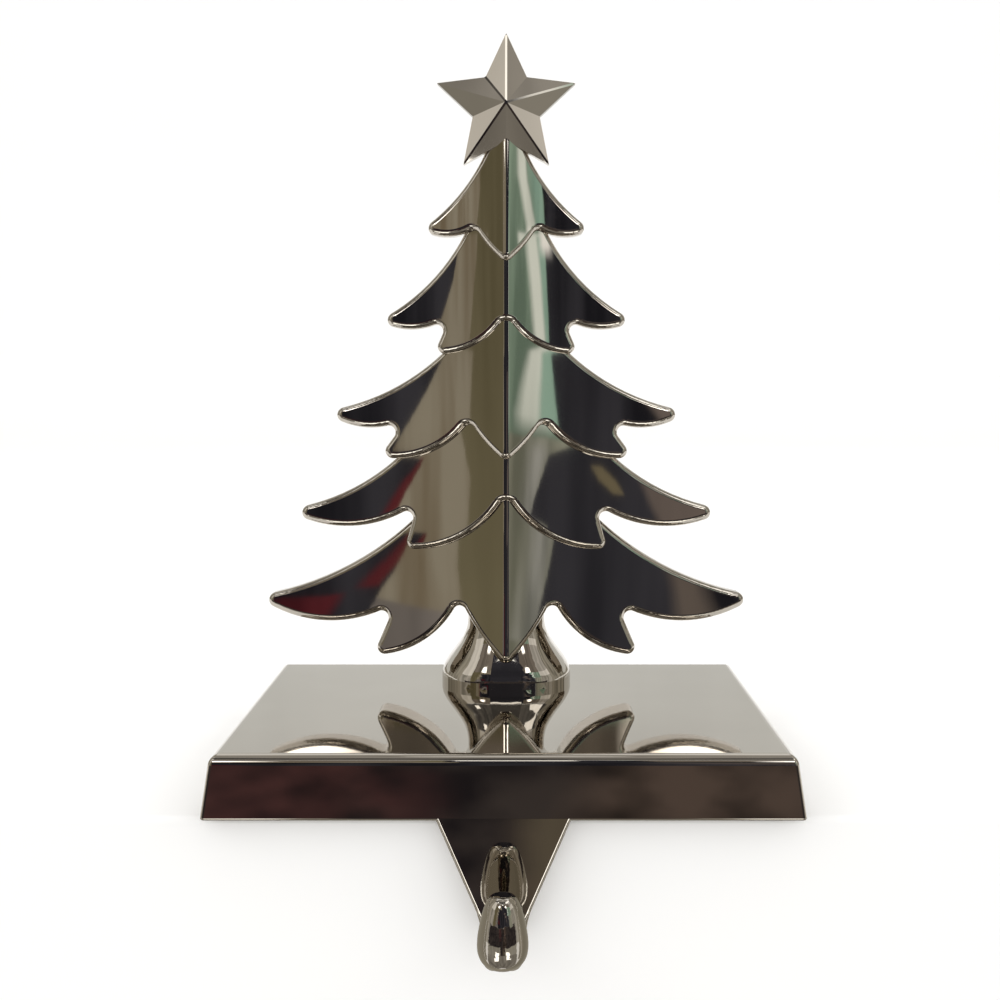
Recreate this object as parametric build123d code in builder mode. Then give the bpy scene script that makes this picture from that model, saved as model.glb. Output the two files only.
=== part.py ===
from build123d import *

import math
import os
from dataclasses import dataclass

# Sizes are in millimetres. The shelf's top is the plane Z = 0 and its front face the plane Y = 0,
# so the origin is the middle of the shelf's front edge. The viewer stands on the -Y side.

# Base casting
base_width = 120.6
base_depth = 88.0
base_height = 12.9
base_draft = 7.0
wall = 4.0
top_plate = 3.6
corner_radius = 0.9
inner_corner_radius = 2.0
top_edge_radius = 2.3
rim_edge_radius = 0.5

# Non-slip pads under the corners, on bosses inside the base
pad_diameter = 12.0
pad_thickness = 1.6
pad_proud = 0.6
pad_inset = 14.0
pad_boss_margin = 1.0

# Tongue in front of the shelf
tongue_width = 28.0
tongue_drop = 18.8
tongue_edge_radius = 0.8
tongue_back_trim = 0.6

# Hook that the tongue rolls into, with the width, thickness and corner radius of its strip
hook_throat = 9.2
roll_drop = 3.8
bend_width = 10.9
heel_width = 8.6
heel_thickness = 4.8
heel_corner = 2.3
toe_width = 8.2
toe_thickness = 4.6
toe_corner = 2.2
neck_width = 6.8
neck_thickness = 5.6
neck_corner = 2.7
heel_share = 0.35
toe_share = 0.65

# Egg-shaped end of the hook: heights are from its widest place
bulb_diameter = 9.2
bulb_lift = 3.0
bulb_sink = 7.9
bulb_rise = 6.3
crown_diameter = 4.8
crown_rise = 5.9

# Tree casting: heights are above the base's top face
tree_height = 146.6
tree_inset = 17.0
branch_overhang = 2.2
branch_back = 1.6
branch_thickness = 4.0
ridge_pitch = 18.0
ridge_lean = 0.15
ridge_radius = 2.6
outline_radius = 1.9
notch_radius = 1.7
edge_radius = 1.5

# Star
star_radius = 18.6
star_waist = 9.0
star_set = 1.0
star_plate = 2.6
star_relief = 4.5

# Trunk and its flared foot
foot_width = 32.7
foot_depth = 28.7
foot_edge = 1.6
trunk_width = 19.3
trunk_depth = 19.7
trunk_corner = 0.38
flare_height = 15.7
flare_cuts = 7
tail_height = 20.0
tail_width = 6.0
tail_depth = 3.0
tail_corner = 1.2

# Screw that holds the tree to the base, and its washer
screw_diameter = 4.8
screw_length = 18.0
screw_clearance = 0.3
screw_hole_spare = 1.0
screw_head_diameter = 9.4
screw_head_height = 3.2
screw_head_edge = 0.8
socket_size = 3.0
socket_depth = 1.8
washer_diameter = 12.0
washer_thickness = 1.0
screw_boss_diameter = 15.0
screw_boss_height = 1.6

# How far each kind of branch edge bows, as a share of its chord
upper_bow = 0.08
under_bow = 0.15
lower_bow = 0.15
point_bow = 0.05

rim = pad_proud
base_top = rim + base_height
ceiling = base_top - top_plate
draft_slope = math.tan(math.radians(base_draft))
draft_run = base_height * draft_slope
rim_width = base_width + 2 * draft_run
rim_depth = base_depth + 2 * draft_run
base_front = draft_run - wall
base_middle = base_front + base_depth / 2
pad_spacing = (base_width - 2 * pad_inset, base_depth - 2 * pad_inset)
tongue_middle = (tongue_back_trim - wall) / 2
hook_bend = rim - tongue_drop
bulb_axis = -wall - hook_throat - bulb_diameter / 2
roll_middle = (tongue_middle + bulb_axis) / 2
bulb_middle = hook_bend + bulb_lift
tree_axis = base_front + base_depth - tree_inset
tree_back = tree_axis + branch_back
branch_reach = rim_width / 2 + branch_overhang
screw_seat = ceiling - screw_boss_height
head_seat = screw_seat - washer_thickness
screw_hole = screw_diameter + screw_clearance
screw_hole_depth = head_seat + screw_length - base_top + screw_hole_spare
ridge_run = Vector(0, ridge_lean, 1).normalized()
plinth_back = Plane((0, base_middle + rim_depth / 2, rim), x_dir=(1, 0, 0), z_dir=(0, -1, 0))
plinth_left = Plane((-rim_width / 2, base_middle, rim), x_dir=(0, 1, 0), z_dir=(1, 0, 0))
front_view = Plane((0, tree_back, base_top), x_dir=(1, 0, 0), z_dir=(0, -1, 0))


def tongue_section(height, width):
    # Level cut through the tongue before its back is trimmed
    with BuildSketch(Plane((0, tongue_middle, height))) as section:
        RectangleRounded(width, wall + tongue_back_trim, tongue_edge_radius)
    return section.sketch


def roll_section(path, share, width, thickness, corner):
    # Cut across the hook's strip at a share of its way round
    with BuildSketch(Plane(path @ share, x_dir=(1, 0, 0), z_dir=path % share)) as section:
        RectangleRounded(width, thickness, corner)
    return section.sketch


def hanging_hook():
    # Tapered tongue that rolls forward and up into a bulb
    top = rim + rim_edge_radius
    with BuildPart() as hook:
        loft([tongue_section(top, tongue_width), tongue_section(hook_bend, bend_width)], ruled=True)
        with BuildLine(Plane.YZ) as roll:
            start = (tongue_middle, hook_bend)
            lowest = (roll_middle, hook_bend - roll_drop)
            Spline(start, lowest, (bulb_axis, hook_bend), tangents=[(0, -1), (0, 1)])
        strip = [
            roll_section(roll.line, 0, bend_width, wall + tongue_back_trim, tongue_edge_radius),
            roll_section(roll.line, heel_share, heel_width, heel_thickness, heel_corner),
            roll_section(roll.line, toe_share, toe_width, toe_thickness, toe_corner),
            roll_section(roll.line, 1, neck_width, neck_thickness, neck_corner),
        ]
        sweep(sections=strip, path=roll.line, multisection=True)
        with BuildSketch(Plane((0, bulb_axis, bulb_middle), x_dir=(1, 0, 0), z_dir=(0, -1, 0))):
            with BuildLine():
                belly = (bulb_diameter / 2, 0)
                shoulder = (crown_diameter / 2, crown_rise)
                Spline((0, -bulb_sink), belly, shoulder, (0, bulb_rise), tangents=[(1, 0), (-1, 0)])
                Line((0, bulb_rise), (0, -bulb_sink))
            make_face()
        revolve(axis=Axis((0, bulb_axis, 0), (0, 0, 1)))
        # The back is trimmed flat, in the plane of the shelf's front
        with BuildSketch(Plane((0, 0, 0), x_dir=(1, 0, 0), z_dir=(0, 1, 0))):
            Rectangle(2 * tongue_width, 4 * tongue_drop)
        extrude(amount=2 * tongue_back_trim, mode=Mode.SUBTRACT)
    return hook.part


def plinth_profile(plane, size):
    # Side of the plinth: drafted walls with round shoulders
    with BuildSketch(plane) as profile:
        Trapezoid(size + 2 * draft_run, base_height, 90 - base_draft, align=(Align.CENTER, Align.MIN))
        fillet(profile.vertices().group_by(Axis.Y)[-1], top_edge_radius)
    return profile.sketch


def runs_aslant(edge):
    # True for an edge that runs across both sides of the plinth, at one of its corners
    run = edge.position_at(1) - edge.position_at(0)
    return min(abs(run.X), abs(run.Y)) > draft_run / 2


with BuildPart() as base:
    extrude(plinth_profile(plinth_back, base_width), amount=rim_depth)
    extrude(plinth_profile(plinth_left, base_depth), amount=rim_width, mode=Mode.INTERSECT)
    fillet(base.edges().filter_by(runs_aslant), corner_radius)
    fillet(base.faces().sort_by(Axis.Z)[0].edges(), rim_edge_radius)
    with BuildSketch(Plane((0, base_middle, rim))):
        RectangleRounded(rim_width - 2 * wall, rim_depth - 2 * wall, inner_corner_radius)
    extrude(amount=ceiling - rim, taper=base_draft, mode=Mode.SUBTRACT)
    # Bosses for the pads and the screw stand down from the top plate
    with BuildSketch(Plane((0, base_middle, pad_thickness))):
        with GridLocations(*pad_spacing, 2, 2):
            Circle(pad_diameter / 2 + pad_boss_margin)
    extrude(amount=ceiling - pad_thickness)
    with BuildSketch(Plane((0, tree_axis, screw_seat))):
        Circle(screw_boss_diameter / 2)
    extrude(amount=screw_boss_height)
    with BuildSketch(Plane((0, tree_axis, screw_seat))):
        Circle(screw_hole / 2)
    extrude(amount=base_top - screw_seat, mode=Mode.SUBTRACT)
    add(hanging_hook())


@dataclass
class Tier:
    # One tier of branches, by the corners of its right half as the viewer sees it.
    # The crown and the root lie under the tier above
    crown: tuple
    root: tuple
    tip: tuple
    peak: tuple
    notch: tuple = None
    tooth: tuple = None
    point: tuple = None


def spot(across, up):
    # Place in the front view, in percent of the lowest branches' reach and of the tree's height
    return (branch_reach * across / 100, tree_height * up / 100)


# The tiers from the lowest to the highest
tiers = [
    Tier(
        crown=spot(9.4, 34.5), root=spot(33.7, 29.3), tip=spot(100, 14.4), notch=spot(43.8, 13.5),
        tooth=spot(52.5, 4.7), peak=spot(18.1, 14.9), point=spot(0, 4.2),
    ),
    Tier(
        crown=spot(19.4, 47.0), root=spot(40.8, 39.7), tip=spot(88.2, 29.5), notch=spot(35.0, 30.8),
        tooth=spot(40.2, 23.0), peak=spot(0, 32.7),
    ),
    Tier(
        crown=spot(6.3, 64.9), root=spot(23.2, 57.7), tip=spot(72.7, 46.7), notch=spot(39.4, 45.4),
        tooth=spot(50.4, 38.8), peak=spot(14.6, 45.4), point=spot(0, 38.3),
    ),
    Tier(
        crown=spot(13.5, 80.2), root=spot(16.0, 78.3), tip=spot(51.1, 62.5), notch=spot(22.3, 63.2),
        tooth=spot(28.7, 56.7), peak=spot(0, 63.3),
    ),
    Tier(
        crown=spot(3.8, 96.7), root=spot(5.0, 95.7), tip=spot(33.9, 78.4),
        peak=spot(12.2, 78.7), point=spot(0, 72.4),
    ),
]


def bowed(start, end, bow):
    # Arc between two points that bows to the left of its run by a share of the chord
    return SagittaArc(start, end, bow * math.dist(start, end))


def corners_at(outline, places):
    # Corners of a mirrored outline at the given places of its right half
    near = 0.01
    return outline.vertices().filter_by(
        lambda corner: any(math.dist((abs(corner.X), corner.Y), place) < near for place in places)
    )


def tier_outline(tier):
    # Front view of one tier, with its corners rounded
    with BuildSketch(front_view) as outline:
        with BuildLine():
            Line((0, tier.crown[1]), tier.crown)
            Line(tier.crown, tier.root)
            bowed(tier.root, tier.tip, -upper_bow)
            if tier.notch:
                bowed(tier.tip, tier.notch, under_bow)
                Line(tier.notch, tier.tooth)
                bowed(tier.tooth, tier.peak, lower_bow)
            else:
                bowed(tier.tip, tier.peak, under_bow)
            if tier.point:
                bowed(tier.peak, tier.point, point_bow)
            mirror(about=Plane.YZ)
        make_face()
        inner = [corner for corner in (tier.notch, tier.peak) if corner]
        outer = [corner for corner in (tier.tip, tier.tooth, tier.point) if corner]
        fillet(corners_at(outline, inner), notch_radius)
        fillet(corners_at(outline, outer), outline_radius)
    return outline.sketch


def tier_plan(tier, crest):
    # Plan of one tier: hollow flanks that level off at the branch tips and meet at the ridge
    reach = tier.tip[0]
    start = Vector(0, tree_back, base_top + tier.tip[1]) - ridge_run * (2 * reach)
    with BuildSketch(Plane(start, x_dir=(1, 0, 0), z_dir=(0, 0, -1))) as plan:
        with BuildLine():
            Line((0, -reach), (2 * reach, -reach))
            Line((2 * reach, -reach), (2 * reach, branch_thickness))
            Line((2 * reach, branch_thickness), (reach, branch_thickness))
            TangentArc((reach, branch_thickness), (0, branch_thickness + crest), tangent=(-1, 0))
            mirror(about=Plane.YZ)
        make_face()
        fillet(corners_at(plan, [(0, branch_thickness + crest)]), ridge_radius)
    return plan.sketch


def tree_tier(tier):
    # One tier: its outline cut by the leaning roof, with soft front edges
    reach = tier.tip[0]
    crest = reach * math.tan(math.radians(ridge_pitch)) / 2
    with BuildPart() as branches:
        extrude(tier_outline(tier), amount=reach)
        extrude(tier_plan(tier, crest), amount=4 * reach, dir=ridge_run, mode=Mode.INTERSECT)
        front = branches.faces().filter_by(lambda face: face.normal_at().Y < -0.5)
        soft = front.edges().filter_by(lambda edge: abs(edge.tangent_at(0.5).dot(ridge_run)) < 0.9999)
        fillet(soft, edge_radius)
    return branches.part


def star_corner(step):
    # Corners of the star, counted from its top: even ones are tips, odd ones lie between them
    radius = star_waist if step % 2 else star_radius
    angle = math.radians(90 + 36 * step)
    return (radius * math.cos(angle), tree_height + radius * math.sin(angle))


def trunk_section(share):
    # Level cut through the trunk, from the foot's upright edge at 0 to the straight part at 1
    flare = (1 - share) ** 3 * (1 + 3 * share)
    width = trunk_width + (foot_width - trunk_width) * flare
    depth = trunk_depth + (foot_depth - trunk_depth) * flare
    with BuildSketch(Plane((0, tree_axis, base_top + foot_edge + share * flare_height))) as section:
        RectangleRounded(width, depth, trunk_corner * width)
    return section.sketch


with BuildPart() as tree:
    for tier in tiers:
        add(tree_tier(tier))
    # The star is a plate whose front rises in facets to its middle
    with BuildSketch(front_view.offset(star_set)) as star:
        Polygon(*[star_corner(step) for step in range(10)], align=None)
    extrude(amount=star_plate)
    star_front = front_view.offset(star_set + star_plate)
    star_apex = star_front.offset(star_relief).from_local_coords(Vector(0, tree_height))
    loft([star.sketch.moved(Location(front_view.z_dir * star_plate)), Vertex(star_apex)], ruled=True)
    # The trunk's foot flares on the base's top face, and its tail thins out behind the branches
    extrude(trunk_section(0), amount=-foot_edge, dir=(0, 0, 1))
    loft([trunk_section(cut / (flare_cuts - 1)) for cut in range(flare_cuts)])
    with BuildSketch(Plane((0, tree_axis, base_top + foot_edge + flare_height + tail_height))) as tail:
        RectangleRounded(tail_width, tail_depth, tail_corner)
    loft([trunk_section(1), tail.sketch], ruled=True)
    with BuildSketch(Plane((0, tree_axis, base_top))):
        Circle(screw_hole / 2)
    extrude(amount=screw_hole_depth, mode=Mode.SUBTRACT)

with BuildPart() as pads:
    with BuildSketch(Plane((0, base_middle, 0))):
        with GridLocations(*pad_spacing, 2, 2):
            Circle(pad_diameter / 2)
    extrude(amount=pad_thickness)

with BuildPart() as washer:
    with BuildSketch(Plane((0, tree_axis, head_seat))):
        Circle(washer_diameter / 2)
        Circle(screw_hole / 2, mode=Mode.SUBTRACT)
    extrude(amount=washer_thickness)

with BuildPart() as screw:
    with BuildSketch(Plane((0, tree_axis, head_seat - screw_head_height))):
        Circle(screw_head_diameter / 2)
    extrude(amount=screw_head_height)
    fillet(screw.edges().sort_by(Axis.Z)[0], screw_head_edge)
    with BuildSketch(Plane((0, tree_axis, head_seat - screw_head_height))):
        RegularPolygon(socket_size / 2, 6, major_radius=False)
    extrude(amount=socket_depth, mode=Mode.SUBTRACT)
    with BuildSketch(Plane((0, tree_axis, head_seat))):
        Circle(screw_diameter / 2)
    extrude(amount=screw_length)

base.part.label = "base"
tree.part.label = "tree"
pads.part.label = "pads"
washer.part.label = "washer"
screw.part.label = "screw"

os.makedirs("parts", exist_ok=True)
export_step(base.part, "parts/base.step")
export_step(tree.part, "parts/tree.step")
export_step(pads.part, "parts/pads.step")
export_step(washer.part, "parts/washer.step")
export_step(screw.part, "parts/screw.step")
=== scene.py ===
import bpy
import bmesh
import math
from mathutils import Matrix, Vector


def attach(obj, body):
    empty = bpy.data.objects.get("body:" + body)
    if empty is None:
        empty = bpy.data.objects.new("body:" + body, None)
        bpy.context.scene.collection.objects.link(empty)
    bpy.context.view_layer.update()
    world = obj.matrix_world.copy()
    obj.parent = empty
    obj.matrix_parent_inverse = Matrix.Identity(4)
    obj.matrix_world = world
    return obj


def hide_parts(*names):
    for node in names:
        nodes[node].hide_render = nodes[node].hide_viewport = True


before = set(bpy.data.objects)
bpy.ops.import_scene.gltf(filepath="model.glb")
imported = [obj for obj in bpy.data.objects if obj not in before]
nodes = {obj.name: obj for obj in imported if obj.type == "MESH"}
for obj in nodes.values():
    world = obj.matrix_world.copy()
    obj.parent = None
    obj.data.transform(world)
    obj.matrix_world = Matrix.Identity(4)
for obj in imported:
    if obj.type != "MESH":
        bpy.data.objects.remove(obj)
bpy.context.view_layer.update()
scene = bpy.context.scene
print("frame loaded:", sorted(nodes))


# small helpers for node trees
def newMaterial(name):
    mat = bpy.data.materials.new(name)
    mat.use_nodes = True
    tree = mat.node_tree
    shader = tree.nodes["Principled BSDF"]
    coords = tree.nodes.new("ShaderNodeTexCoord")
    return mat, tree, shader, coords


def noiseNode(tree, coords, scale, detail, stretch=(1, 1, 1)):
    mapping = tree.nodes.new("ShaderNodeMapping")
    mapping.inputs["Scale"].default_value = stretch
    tree.links.new(coords.outputs["Object"], mapping.inputs["Vector"])
    noise = tree.nodes.new("ShaderNodeTexNoise")
    noise.inputs["Scale"].default_value = scale
    noise.inputs["Detail"].default_value = detail
    tree.links.new(mapping.outputs["Vector"], noise.inputs["Vector"])
    return noise


def rampNode(tree, source, spread, tones):
    ramp = tree.nodes.new("ShaderNodeValToRGB")
    for element, place, tone in zip(ramp.color_ramp.elements, spread, tones):
        element.position = place
        element.color = (*tone, 1)
    tree.links.new(source, ramp.inputs["Fac"])
    return ramp


def rangeNode(tree, source, low, high):
    span = tree.nodes.new("ShaderNodeMapRange")
    span.inputs["To Min"].default_value = low
    span.inputs["To Max"].default_value = high
    tree.links.new(source, span.inputs["Value"])
    return span


def bumpNode(tree, source, strength, distance, previous=None):
    bump = tree.nodes.new("ShaderNodeBump")
    bump.inputs["Strength"].default_value = strength
    bump.inputs["Distance"].default_value = distance
    tree.links.new(source, bump.inputs["Height"])
    if previous:
        tree.links.new(previous.outputs["Normal"], bump.inputs["Normal"])
    return bump


# polished nickel plate, with the slow waves that hand polishing leaves on a casting
nickelLook = {
    "tones": ((0.465, 0.428, 0.376), (0.525, 0.486, 0.430)), "spread": (0.3, 0.7), "toneScale": 22,
    "rough": (0.02, 0.05), "smudgeScale": 60,
    "waveScale": 30, "waveHeight": 0.0009, "waveStrength": 0.07,
    "grainScale": 700, "grainHeight": 0.00004, "grainStrength": 0.02, "grainStretch": (1, 1, 0.2),
}


def nickelMaterial(look):
    mat, tree, shader, coords = newMaterial("polished_nickel")
    shader.inputs["Metallic"].default_value = 1
    tone = noiseNode(tree, coords, look["toneScale"], detail=3)
    colour = rampNode(tree, tone.outputs["Fac"], look["spread"], look["tones"])
    tree.links.new(colour.outputs["Color"], shader.inputs["Base Color"])
    smudge = noiseNode(tree, coords, look["smudgeScale"], detail=4)
    rough = rangeNode(tree, smudge.outputs["Fac"], *look["rough"])
    tree.links.new(rough.outputs["Result"], shader.inputs["Roughness"])
    wave = noiseNode(tree, coords, look["waveScale"], detail=1)
    waves = bumpNode(tree, wave.outputs["Fac"], look["waveStrength"], look["waveHeight"])
    grain = noiseNode(tree, coords, look["grainScale"], detail=2, stretch=look["grainStretch"])
    grains = bumpNode(tree, grain.outputs["Fac"], look["grainStrength"], look["grainHeight"], waves)
    tree.links.new(grains.outputs["Normal"], shader.inputs["Normal"])
    return mat


# rubber of the pads and plated steel of the screw: one grain gives the tone, the gloss and the relief
padLook = {
    "metallic": 0, "tones": ((0.012, 0.012, 0.013), (0.03, 0.03, 0.031)), "spread": (0.35, 0.65),
    "scale": 1800, "detail": 4, "stretch": (1, 1, 1),
    "rough": (0.75, 0.95), "height": 0.0002, "strength": 0.5,
}
steelLook = {
    "metallic": 1, "tones": ((0.48, 0.49, 0.51), (0.64, 0.65, 0.66)), "spread": (0.3, 0.7),
    "scale": 700, "detail": 3, "stretch": (1, 1, 8),
    "rough": (0.25, 0.4), "height": 0.0001, "strength": 0.2,
}


def grainMaterial(name, look):
    mat, tree, shader, coords = newMaterial(name)
    shader.inputs["Metallic"].default_value = look["metallic"]
    grain = noiseNode(tree, coords, look["scale"], look["detail"], look["stretch"])
    colour = rampNode(tree, grain.outputs["Fac"], look["spread"], look["tones"])
    tree.links.new(colour.outputs["Color"], shader.inputs["Base Color"])
    rough = rangeNode(tree, grain.outputs["Fac"], *look["rough"])
    tree.links.new(rough.outputs["Result"], shader.inputs["Roughness"])
    bump = bumpNode(tree, grain.outputs["Fac"], look["strength"], look["height"])
    tree.links.new(bump.outputs["Normal"], shader.inputs["Normal"])
    return mat


nickel = nickelMaterial(nickelLook)
rubber = grainMaterial("pad_rubber", padLook)
steel = grainMaterial("zinc_plated_steel", steelLook)
nodeMaterials = {"base": nickel, "tree": nickel, "pads": rubber, "washer": steel, "screw": steel}
for name, mat in nodeMaterials.items():
    nodes[name].data.materials.clear()
    nodes[name].data.materials.append(mat)
print("materials set")


# the tree as one polished skin: its hollow flanks get their true normals, so reflections run clean
treeLook = {
    "reach": 0.064084, "back": 0.070184, "foot": 0.0135, "height": 0.1466,
    "thickness": 0.004, "pitch": 18, "lean": 0.15, "ridge": 0.0008,
    "tips": [(1, 0.144), (0.882, 0.295), (0.727, 0.467), (0.511, 0.625), (0.339, 0.784)],
    "near": 0.00002,  # a point this close to a flank's surface lies on it
    "facing": 0.75,  # how squarely a face looks along the flank's normal, to take that normal
}


def flankNormal(place, tip, look):
    # normal of one tier's flank at a place on it, or None for a place that isn't on it; a tip is that
    # tier's share of the reach and of the height
    reachShare, heightShare = tip
    reach = look["reach"] * reachShare
    inward = reach - abs(place.x)
    if inward < 0 or abs(place.x) < look["ridge"]:
        return None
    crest = reach * math.tan(math.radians(look["pitch"])) / 2
    radius = (reach ** 2 + crest ** 2) / (2 * crest)
    depth = math.sqrt(radius ** 2 - inward ** 2)
    leanBack = look["lean"] * (place.z - look["foot"] - look["height"] * heightShare)
    if abs(look["back"] - look["thickness"] - radius + depth + leanBack - place.y) > look["near"]:
        return None
    return Vector((math.copysign(inward / depth, place.x), -1, look["lean"])).normalized()


# lines of the star that are worn flat enough to catch the light, as turns in degrees from the right
starLook = {
    "middle": 0.1601, "front": 0.0667, "reach": 0.0188, "weld": 0.000004, "flat": 0.0003,
    "lines": (18, 90, 126, 234, 306), "slack": 2, "shortest": 0.002, "crease": 0.2,
    "offMiddle": 2e-9,  # area between a line and the middle, nothing for a line that points at it
    "sameFacet": 0.9999,  # likeness of two normals on one facet
}


def closeSkin(bm, look):
    # weld the points that almost meet, then drop what isn't joined to the star's top: a closed
    # pocket inside the casting, which no one sees
    bmesh.ops.remove_doubles(bm, verts=bm.verts[:], dist=look["weld"])
    bmesh.ops.dissolve_degenerate(bm, edges=bm.edges[:], dist=look["weld"])
    start = max(bm.verts, key=lambda vert: vert.co.z)
    joined, waiting = {start}, [start]
    while waiting:
        for edge in waiting.pop().link_edges:
            for vert in edge.verts:
                if vert not in joined:
                    joined.add(vert)
                    waiting.append(vert)
    inside = [vert for vert in bm.verts if vert not in joined]
    bmesh.ops.delete(bm, geom=inside, context="VERTS")
    print("points dropped inside the casting:", len(inside))


def isStarLine(edge, look):
    # a crease on the star's front that runs straight out from its middle, at one of the turns
    if len(edge.link_faces) != 2 or edge.calc_length() < look["shortest"]:
        return False
    if max(vert.co.y for vert in edge.verts) > look["front"]:
        return False
    places = [Vector((vert.co.x, vert.co.z - look["middle"])) for vert in edge.verts]
    inner, outer = sorted(places, key=lambda place: place.length)
    if outer.length > look["reach"] or abs(inner.cross(outer)) > look["offMiddle"]:
        return False
    turn = math.degrees(math.atan2(outer.y, outer.x)) % 360
    offTurn = min(abs(turn - line) for line in look["lines"])
    return edge.calc_face_angle() > look["crease"] and offTurn < look["slack"]


def wearStar(mesh, look):
    # flatten the lines, and give back the normal of every corner of the new mesh
    mesh.attributes.new("kept", "FLOAT_VECTOR", "CORNER")
    for slot, corner in zip(mesh.attributes["kept"].data, mesh.corner_normals):
        slot.vector = corner.vector
    bm = bmesh.new()
    bm.from_mesh(mesh)
    kept = bm.loops.layers.float_vector["kept"]
    closeSkin(bm, look)
    lines = [edge for edge in bm.edges if isStarLine(edge, look)]
    facets = [face.normal.copy() for edge in lines for face in edge.link_faces]
    worn = bmesh.ops.bevel(bm, geom=lines, offset=look["flat"], segments=1, affect="EDGES")
    made = set(worn["faces"])
    bm.normal_update()
    for face in bm.faces:
        likeness = max(face.normal.dot(facet) for facet in facets)
        if face in made or likeness > look["sameFacet"]:
            for loop in face.loops:
                loop[kept] = face.normal
    bm.to_mesh(mesh)
    bm.free()
    normals = [slot.vector.copy() for slot in mesh.attributes["kept"].data]
    mesh.attributes.remove(mesh.attributes["kept"])
    print("star lines worn:", len(lines))
    return normals


def makeTreeSkin(look):
    mesh = nodes["tree"].data.copy()
    mesh.name = "tree_skin"
    normals = wearStar(mesh, starLook)
    flanks = {}
    for vert in mesh.vertices:
        for tip in look["tips"]:
            normal = flankNormal(vert.co, tip, look)
            if normal:
                flanks[vert.index] = normal
    for face in mesh.polygons:
        face.use_smooth = True
        for corner, vert in zip(face.loop_indices, face.vertices):
            if vert in flanks and face.normal.dot(flanks[vert]) > look["facing"]:
                normals[corner] = flanks[vert]
    mesh.normals_split_custom_set(normals)
    skin = bpy.data.objects.new("tree_skin", mesh)
    scene.collection.objects.link(skin)
    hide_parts("tree")
    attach(skin, "root")
    print("tree skin made, true normals at", len(flanks), "points")


makeTreeSkin(treeLook)


# stage: a pale shelf whose top runs back and sweeps up into the backdrop
shelfLook = {
    "width": 6.0, "front": 0.0004, "drop": 0.9, "back": 1.6, "sweep": 0.5, "top": 2.6, "bevel": 0.0015,
    "bevelSteps": 6, "sweepSteps": 24,
    "tones": ((0.925, 0.92, 0.91), (0.94, 0.935, 0.925)), "spread": (0.2, 0.8), "toneScale": 4,
    "rough": 0.85, "shine": 0.1,
}


def shelfMaterial(look):
    mat, tree, shader, coords = newMaterial("stage_pale")
    tone = noiseNode(tree, coords, look["toneScale"], detail=2)
    colour = rampNode(tree, tone.outputs["Fac"], look["spread"], look["tones"])
    tree.links.new(colour.outputs["Color"], shader.inputs["Base Color"])
    shader.inputs["Roughness"].default_value = look["rough"]
    shader.inputs["Specular IOR Level"].default_value = look["shine"]
    return mat


def quarterTurn(steps):
    # sine and cosine at even steps of a quarter turn
    turns = [math.pi / 2 * step / steps for step in range(steps + 1)]
    return [(math.sin(turn), math.cos(turn)) for turn in turns]


def shelfProfile(look):
    # side view from the foot of the shelf's front to the top of the backdrop, as (y, z)
    front, bevel, back, sweep = look["front"], look["bevel"], look["back"], look["sweep"]
    line = [(front, -look["drop"])]
    for sine, cosine in quarterTurn(look["bevelSteps"]):
        line.append((front + bevel * (1 - cosine), -bevel * (1 - sine)))
    for sine, cosine in quarterTurn(look["sweepSteps"]):
        line.append((back + sweep * sine, sweep * (1 - cosine)))
    line.append((back + sweep, look["top"]))
    return line


def makeShelf(look):
    mesh = bpy.data.meshes.new("stage_shelf")
    bm = bmesh.new()
    previous = None
    for y, z in shelfProfile(look):
        pair = [bm.verts.new((x, y, z)) for x in (-look["width"] / 2, look["width"] / 2)]
        if previous:
            face = bm.faces.new((previous[0], previous[1], pair[1], pair[0]))
            face.smooth = True
        previous = pair
    bm.to_mesh(mesh)
    bm.free()
    shelf = bpy.data.objects.new("stage_shelf", mesh)
    scene.collection.objects.link(shelf)
    mesh.materials.append(shelfMaterial(look))


makeShelf(shelfLook)
print("shelf and backdrop made")


# studio cards that only the polished metal sees: each is a sheet bent round the tree
cardLook = {
    "middle": (0, 0.07, 0.08), "steps": 24,
    "streak": 7, "stretch": (1, 1, 0.12), "spread": (0.38, 0.62), "strength": 1, "fade": (0, 0),
}


def cardMaterial(name, look):
    mat = bpy.data.materials.new("card_" + name)
    mat.use_nodes = True
    tree = mat.node_tree
    tree.nodes.clear()
    out = tree.nodes.new("ShaderNodeOutputMaterial")
    glow = tree.nodes.new("ShaderNodeEmission")
    clear = tree.nodes.new("ShaderNodeBsdfTransparent")
    soft = tree.nodes.new("ShaderNodeAttribute")
    soft.attribute_name = "soft"
    fade = tree.nodes.new("ShaderNodeMixShader")
    coords = tree.nodes.new("ShaderNodeTexCoord")
    streaks = noiseNode(tree, coords, look["streak"], detail=3, stretch=look["stretch"])
    colour = rampNode(tree, streaks.outputs["Fac"], look["spread"], look["tones"])
    tree.links.new(colour.outputs["Color"], glow.inputs["Color"])
    glow.inputs["Strength"].default_value = look["strength"]
    tree.links.new(soft.outputs["Fac"], fade.inputs["Fac"])
    tree.links.new(clear.outputs["BSDF"], fade.inputs[1])
    tree.links.new(glow.outputs["Emission"], fade.inputs[2])
    tree.links.new(fade.outputs["Shader"], out.inputs["Surface"])
    return mat


def linkCard(name, mesh, look):
    card = bpy.data.objects.new("card_" + name, mesh)
    scene.collection.objects.link(card)
    mesh.materials.append(cardMaterial(name, look))
    card.visible_camera = False
    card.visible_diffuse = False
    card.visible_shadow = False
    return card


def cardSoftness(share, fadeFirst, fadeLast):
    # 1 along a row, and down to 0 over the faded share at either end
    fromFirst = share / fadeFirst if fadeFirst else 1
    fromLast = (1 - share) / fadeLast if fadeLast else 1
    return min(1, fromFirst, fromLast)


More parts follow.
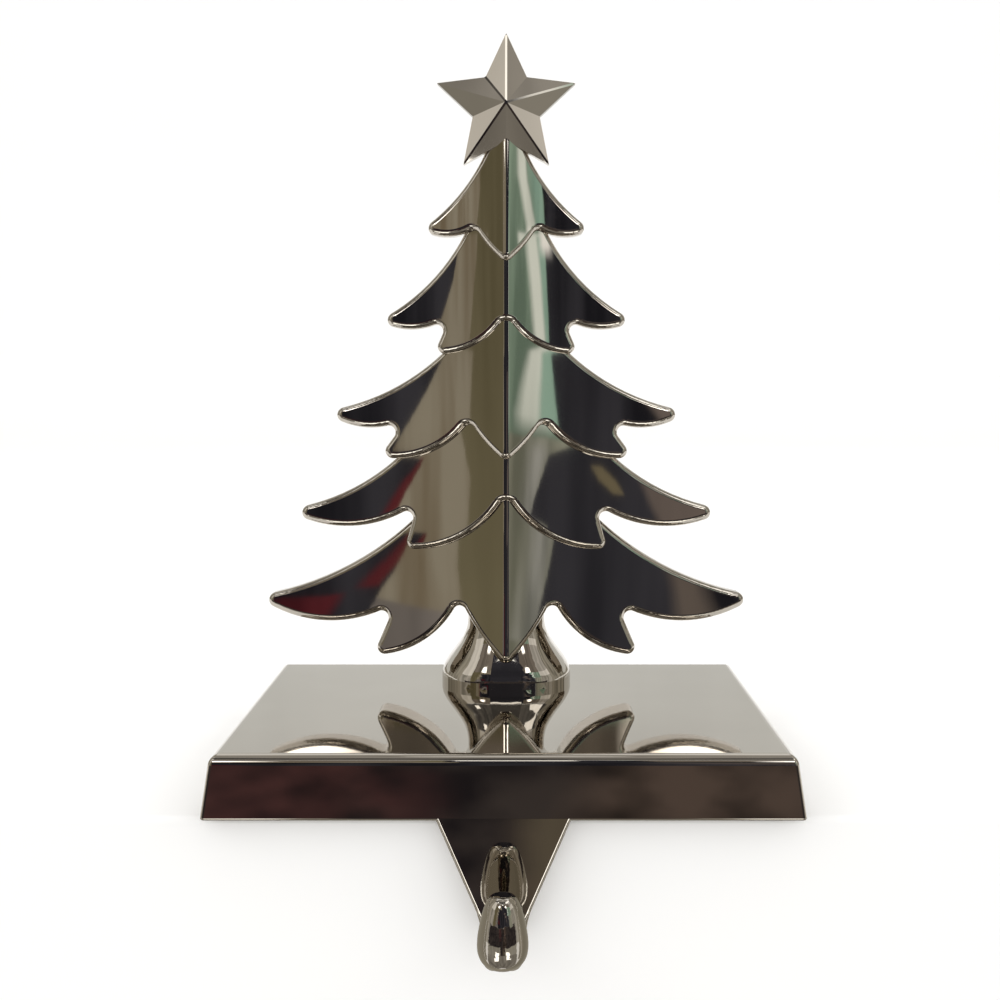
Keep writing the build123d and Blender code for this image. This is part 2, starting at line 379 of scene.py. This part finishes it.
def makeCard(name, look):
    # rows run from the bottom edge up: elevation, then the azimuths of the two ends, in degrees, and
    # how solid the row is; azimuth 0 is straight in front of the tree, positive to the viewer's right
    mesh = bpy.data.meshes.new("card_" + name)
    bm = bmesh.new()
    soft = bm.verts.layers.float.new("soft")
    radius = look["radius"]
    below = None
    for elevation, first, last, *solid in look["rows"]:
        rise = radius * math.tan(math.radians(elevation))
        row = []
        for step in range(look["steps"] + 1):
            share = step / look["steps"]
            turn = math.radians(first + (last - first) * share)
            vert = bm.verts.new((radius * math.sin(turn), -radius * math.cos(turn), rise))
            vert[soft] = cardSoftness(share, *look["fade"])
            vert[soft] *= solid[0] if solid else 1
            row.append(vert)
        if below:
            for a, b, c, d in zip(below, below[1:], row[1:], row):
                bm.faces.new((a, b, c, d))
        below = row
    bm.to_mesh(mesh)
    bm.free()
    card = linkCard(name, mesh, look)
    card.location = look["middle"]


# tones that several cards share, the darker and the lighter end of their streaks
darkTones = ((0.018, 0.018, 0.024), (0.056, 0.056, 0.070))
redTones = ((0.085, 0.015, 0.020), (0.150, 0.026, 0.034))
brownTones = ((0.17, 0.140, 0.130), (0.24, 0.200, 0.185))
tableTones = ((0.30, 0.285, 0.245), (0.44, 0.420, 0.365))
glintTones = ((0.8, 0.79, 0.77), (1, 1, 0.97))
farTones = ((0.24, 0.225, 0.185), (0.50, 0.470, 0.400))
highTones = ((0.17, 0.150, 0.128), (0.29, 0.255, 0.220))
softboxTones = ((0.95, 0.93, 0.90), (1, 1, 1))
lowWallTones = ((0.34, 0.325, 0.285), (0.58, 0.555, 0.505))
sparkTones = ((0.9, 0.9, 0.88), (1, 1, 1))

cards = {
    # middle of the front: a dark flag, with warmer and redder patches over it
    "dark": {
        "radius": 1.30, "tones": darkTones,
        "rows": [(-1, -22, 34.5), (4.4, -24.4, 32.6), (6, -26.4, 32.1), (8.1, -28.2, 31.5),
                 (8.5, -23.6, 33.6), (9.5, -24.8, 33.1), (11.9, -28, 31.6),
                 (12.7, -20.4, 28.4), (14.1, -23, 28.9), (17.4, -28.5, 30.2),
                 (18, -21.6, 26.8), (19.6, -22.4, 27), (21.6, -25.5, 27.6), (23.4, -27, 28)],
    },
    "darkHigh": {
        "radius": 1.30, "tones": darkTones,
        "rows": [(23.4, -3, 22), (25.7, -3, 22.7), (27, -3, 24.5), (31, -4, 16), (47, -5, 6)],
    },
    "redEdgeLow": {
        "radius": 1.24, "tones": redTones, "fade": (0, 0.5),
        "rows": [(5.3, -25.2, -22.6), (6.6, -27, -25), (8, -28.4, -27.8)],
    },
    "redEdgeHigh": {
        "radius": 1.24, "tones": redTones, "fade": (0, 0.5),
        "rows": [(9.2, -24.6, -22.6), (10.9, -26.8, -25.4), (11.9, -28.1, -27.6)],
    },
    "redTip": {
        "radius": 1.24, "tones": ((0.080, 0.015, 0.021), (0.140, 0.026, 0.035)), "fade": (0.15, 0.2),
        "rows": [(1, -21, -12), (4, -21, -13), (5.2, -22.5, -15)],
    },
    "brownTipLow": {
        "radius": 1.24, "tones": ((0.14, 0.115, 0.103), (0.22, 0.185, 0.165)), "fade": (0.4, 0.3),
        "rows": [(3, 15, 21), (5.3, 16.6, 21.4), (7.8, 18, 22.6)],
    },
    "brownTipMid": {
        "radius": 1.24, "tones": brownTones, "fade": (0.3, 0.08),
        "rows": [(8.2, 8, 18.8), (9.2, 8.5, 19.9), (11.1, 10, 21.8), (12, 11, 22.6)],
    },
    "brownTipHigh": {
        "radius": 1.24, "tones": brownTones, "fade": (0.3, 0.15),
        "rows": [(13.4, 5, 12.5), (14.7, 6, 14.6), (15.7, 7, 17), (17.2, 8, 17.6)],
    },
    "oliveSpot": {
        "radius": 1.24, "tones": ((0.24, 0.205, 0.13), (0.36, 0.315, 0.21)), "fade": (0.2, 0.2),
        "rows": [(10.2, 23, 24.6), (10.9, 23.8, 26.2), (11.7, 25.6, 27)],
    },
    # left of it: a beige drape, grey in its low corner, with olive cloth behind
    "beige": {
        "radius": 1.38, "tones": ((0.25, 0.205, 0.140), (0.40, 0.365, 0.290)), "streak": 14,
        "rows": [(-1, -32.8, 0), (6, -32.5, 0), (10.6, -33.3, 0), (13.8, -32.1, 0), (17.4, -33, 0),
                 (18, -29.2, 0), (22.2, -31.2, 0), (23.4, -31.5, 0),
                 (23.6, -26.6, 0), (25.9, -28.4, 0), (32, -29, 0)],
    },
    "shade": {
        "radius": 1.34, "tones": ((0.17, 0.155, 0.148), (0.30, 0.275, 0.265)),
        "rows": [(-1, -38, -20), (3.4, -33, -20), (5, -24, -20)],
    },
    "olive": {
        "radius": 1.42, "tones": ((0.165, 0.145, 0.085), (0.245, 0.220, 0.140)),
        "rows": [(-1, -48, -5), (47, -48, -3)],
    },
    # right of it: a bright streak in front of green cloth, which turns pale and grey lower down
    "white": {
        "radius": 1.34, "tones": ((0.74, 0.80, 0.74), (1.06, 1.14, 1.07)), "fade": (0.2, 0.35),
        "rows": [(12.8, 30.8, 36, 0), (13.8, 31, 35.8, 0.85), (17.4, 31.4, 34),
                 (18, 27.2, 30.8), (22.4, 29, 33), (23.4, 29.6, 33.4),
                 (23.6, 24.4, 29.6), (26.4, 29, 34), (28, 30, 34.4)],
    },
    "mintLine": {
        "radius": 1.36, "tones": ((0.20, 0.34, 0.28), (0.44, 0.68, 0.57)), "fade": (0, 0.5),
        "rows": [(12.8, 28.2, 33, 0), (13.5, 28.6, 33), (17.4, 30, 33),
                 (18, 26.7, 29.4), (23.4, 27.8, 31), (23.6, 21.8, 27), (28, 24.6, 31)],
    },
    "paleLow": {
        "radius": 1.36, "tones": ((0.22, 0.23, 0.21), (0.70, 0.71, 0.69)), "fade": (0.3, 0.5),
        "streak": 18,
        "rows": [(2, 32.5, 35.8), (6, 31.6, 35.2), (8.1, 31.2, 35),
                 (8.5, 33, 35.4), (12, 31.2, 34.6), (12.8, 31, 34.4, 0)],
    },
    "teal": {
        "radius": 1.42, "tones": ((0.19, 0.275, 0.215), (0.40, 0.55, 0.44)), "streak": 12,
        "rows": [(12.8, 20, 48), (47, 3, 48)],
    },
    "greyGreen": {
        "radius": 1.42, "tones": ((0.21, 0.22, 0.175), (0.46, 0.47, 0.39)), "streak": 14,
        "rows": [(-1, 20, 48), (12.8, 20, 48)],
    },
    # below: dark ground with a red and a brown patch, grey sheets, and a bright glint at each side
    "ground": {
        "radius": 1.36, "tones": ((0.020, 0.017, 0.020), (0.065, 0.054, 0.052)),
        "streak": 9, "stretch": (1, 1, 2), "rows": [(-36, -62, 62), (-1, -62, 62)],
    },
    "redGround": {
        "radius": 1.32, "tones": ((0.020, 0.015, 0.017), (0.130, 0.058, 0.058)), "fade": (0.05, 0.5),
        "streak": 9, "stretch": (1, 1, 2.5), "rows": [(-9, -15, -2), (-1, -15, -3)],
    },
    "brownGround": {
        "radius": 1.32, "tones": ((0.026, 0.021, 0.019), (0.130, 0.096, 0.082)), "fade": (0.2, 0.2),
        "streak": 9, "stretch": (1, 1, 2),
        "rows": [(-36, -1.5, 16), (-12, -1, 16), (-6, 2, 16), (-1, 3, 16)],
    },
    "tableLeft": {
        "radius": 1.28, "tones": tableTones,
        "rows": [(-28, -62, -8), (-14, -62, -9)],
    },
    "tableRight": {
        "radius": 1.28, "tones": tableTones,
        "rows": [(-28, 8, 62), (-14, 9, 62)],
    },
    "lowGrey": {
        "radius": 0.60, "tones": ((0.20, 0.185, 0.165), (0.36, 0.340, 0.305)),
        "rows": [(-82, -120, 120), (-62, -90, 90), (-30, -60, 60)],
    },
    "tongueBrown": {
        "radius": 1.30, "tones": ((0.10, 0.085, 0.062), (0.16, 0.135, 0.100)), "fade": (0.4, 0),
        "rows": [(-27, -0.6, 5), (-17.5, -0.2, 5), (-16.5, 0, 5, 0)],
    },
    "glintLeft": {
        "radius": 0.56, "tones": glintTones, "strength": 3, "fade": (0.1, 0.1),
        "rows": [(-41, -36, -14), (-36.6, -36, -14), (-36.5, -29, -14),
                 (-33, -29, -14), (-29, -31, -12), (-24.5, -26, -12)],
    },
    "glintRight": {
        "radius": 0.56, "tones": glintTones, "strength": 3, "fade": (0.1, 0.1),
        "rows": [(-41, 14, 36), (-36.6, 14, 36), (-36.5, 14, 29),
                 (-33, 14, 29), (-29, 12, 31), (-24.5, 12, 26)],
    },
    "flagLowLeft": {
        "radius": 1.26, "tones": ((0.34, 0.325, 0.285), (0.42, 0.400, 0.355)),
        "rows": [(-30, -54, -40), (-19, -54, -40)],
    },
    "flagLowRight": {
        "radius": 1.26, "tones": ((0.36, 0.345, 0.305), (0.44, 0.420, 0.375)),
        "rows": [(-30, 40, 54), (-19, 40, 54)],
    },
    # the sides: walls, pale beside the tree and dimmer farther out and lower down; above the front:
    # brown sheets with a softbox before each
    "wallLeft": {
        "radius": 1.44, "tones": ((0.88, 0.855, 0.80), (1.06, 1.03, 0.97)),
        "rows": [(18, -76, -48), (46, -76, -48)],
    },
    "farLeft": {
        "radius": 1.44, "tones": farTones,
        "rows": [(-40, -150, -76), (60, -150, -76)],
    },
    "wallRight": {
        "radius": 1.44, "tones": ((0.82, 0.80, 0.75), (1.02, 0.99, 0.94)),
        "rows": [(18, 48, 76), (29.5, 48, 76)],
    },
    "wallRightHigh": {
        "radius": 1.44, "tones": ((0.46, 0.440, 0.405), (0.66, 0.630, 0.590)),
        "rows": [(29.5, 48, 76), (46, 48, 76)],
    },
    "farRight": {
        "radius": 1.44, "tones": farTones,
        "rows": [(-40, 76, 150), (60, 76, 150)],
    },
    "highLeft": {
        "radius": 1.26, "tones": highTones,
        "rows": [(28, -48, -6, 0), (28.8, -48, -6), (47, -48, -6)],
    },
    "highRight": {
        "radius": 1.26, "tones": highTones,
        "rows": [(28, 8, 48, 0), (28.8, 8, 48), (47, 8, 48)],
    },
    "softboxLeft": {
        "radius": 1.22, "tones": softboxTones, "strength": 7, "fade": (0.4, 0.4),
        "rows": [(27.6, -28, -13, 0.3), (29, -28, -13), (36, -27, -14), (39, -27, -14, 0)],
    },
    "softboxRight": {
        "radius": 1.22, "tones": softboxTones, "strength": 7, "fade": (0.4, 0.4),
        "rows": [(27.6, 13, 28, 0.3), (29, 13, 28), (36, 14, 27), (39, 14, 27, 0)],
    },
    "wallLowLeft": {
        "radius": 1.44, "tones": lowWallTones,
        "rows": [(-14, -76, -48), (18, -76, -48)],
    },
    "wallLowRight": {
        "radius": 1.44, "tones": lowWallTones,
        "rows": [(-14, 48, 76), (18, 48, 76)],
    },
    # small glints that the worn lines of the star and the rims pick up
    "ridgeGlint": {
        "radius": 1.20, "tones": sparkTones, "strength": 2.4,
        "rows": [(39.5, -4, 4), (45, -4, 4)],
    },
    "armGlint": {
        "radius": 1.20, "tones": sparkTones, "strength": 1.5, "fade": (0.35, 0.35),
        "rows": [(22.5, 25.8, 29.8, 0), (23.2, 25.8, 29.8), (23.8, 25.8, 29.8), (24.3, 25.8, 29.8, 0)],
    },
    "rimGlint": {
        "radius": 0.78, "tones": sparkTones, "strength": 2.2,
        "rows": [(49, 28, 75), (63, 40, 88)],
    },
    "valleyGlint": {
        "radius": 0.78, "tones": sparkTones, "strength": 3,
        "rows": [(52, -57, -42), (59.5, -57, -42)],
    },
    # overhead: a dim ceiling with a lighter middle
    "ceiling": {
        "radius": 0.80, "tones": ((0.10, 0.096, 0.092), (0.20, 0.192, 0.180)),
        "rows": [(47, -90, 90), (70, -90, 90)],
    },
    "ceilingTop": {
        "radius": 0.60, "tones": ((0.34, 0.325, 0.30), (0.50, 0.480, 0.45)),
        "rows": [(69, -180, 180), (85, -180, 180)],
    },
    # behind: a grey sheet that the top of the base mirrors
    "behind": {
        "radius": 1.40, "tones": ((0.735, 0.738, 0.708), (0.780, 0.782, 0.752)),
        "rows": [(2, 120, 240), (40, 120, 240)],
    },
}
for name, look in cards.items():
    makeCard(name, {**cardLook, **look})
print("cards made:", len(cards))


# the shelf's front is a warm grey to the metal, as the round end of the hook shows
shelfFrontLook = {
    "width": 1.2, "top": -0.002, "foot": -0.7, "depth": 0.0002,
    "tones": ((0.24, 0.225, 0.18), (0.46, 0.43, 0.36)),
}


def makeShelfFront(look):
    mesh = bpy.data.meshes.new("card_shelfFront")
    half = look["width"] / 2
    corners = [(-half, look["foot"]), (half, look["foot"]), (half, look["top"]), (-half, look["top"])]
    mesh.from_pydata([(x, look["depth"], z) for x, z in corners], [], [(0, 1, 2, 3)])
    soft = mesh.attributes.new("soft", "FLOAT", "POINT")
    soft.data.foreach_set("value", [1.0] * len(corners))
    card = linkCard("shelfFront", mesh, look)


makeShelfFront({**cardLook, **shelfFrontLook})
print("shelf front made")


# soft lights and the pale surroundings
lampLook = {
    "overhead": {"place": (0, 0.1, 1.9), "target": (0, 0.1, 0), "size": (1.6, 1.2), "power": 4},
    "sideLeft": {"place": (-1.4, -0.5, 1.1), "target": (0, 0.05, 0.05), "size": (0.7, 0.9), "power": 3},
    "sideRight": {"place": (1.5, -0.4, 1.0), "target": (0, 0.05, 0.05), "size": (0.6, 0.9), "power": 3},
}
worldLook = {"colour": (1, 0.995, 0.985, 1), "strength": 1.05}


def areaLight(name, look):
    light = bpy.data.lights.new(name, "AREA")
    light.shape = "RECTANGLE"
    light.size, light.size_y = look["size"]
    light.energy = look["power"]
    lamp = bpy.data.objects.new(name, light)
    scene.collection.objects.link(lamp)
    lamp.location = look["place"]
    lamp.rotation_mode = "QUATERNION"
    aim = Vector(look["target"]) - Vector(look["place"])
    lamp.rotation_quaternion = aim.to_track_quat("-Z", "Y")
    lamp.visible_glossy = False  # the cards give the reflections


for name, look in lampLook.items():
    areaLight(name, look)
world = bpy.data.worlds.new("surroundings")
scene.world = world
world.use_nodes = True
surround = world.node_tree.nodes["Background"]
surround.inputs["Color"].default_value = worldLook["colour"]
surround.inputs["Strength"].default_value = worldLook["strength"]
scene.view_settings.view_transform = "Standard"
print("lights set")

# camera at the photo's place, level, with the photo's framing as shift
cameraLook = {
    "place": (0.00276, -0.2756, 0.0912), "lens": 48.17, "sensor": 36,
    "shift": (-0.017, -0.125), "clip": (0.01, 50),
}
cameraData = bpy.data.cameras.new("camera")
cameraData.lens = cameraLook["lens"]
cameraData.sensor_width = cameraLook["sensor"]
cameraData.shift_x, cameraData.shift_y = cameraLook["shift"]
cameraData.clip_start, cameraData.clip_end = cameraLook["clip"]
camera = bpy.data.objects.new("camera", cameraData)
scene.collection.objects.link(camera)
camera.location = cameraLook["place"]
camera.rotation_euler = (math.pi / 2, 0, 0)
scene.camera = camera
print("camera set")
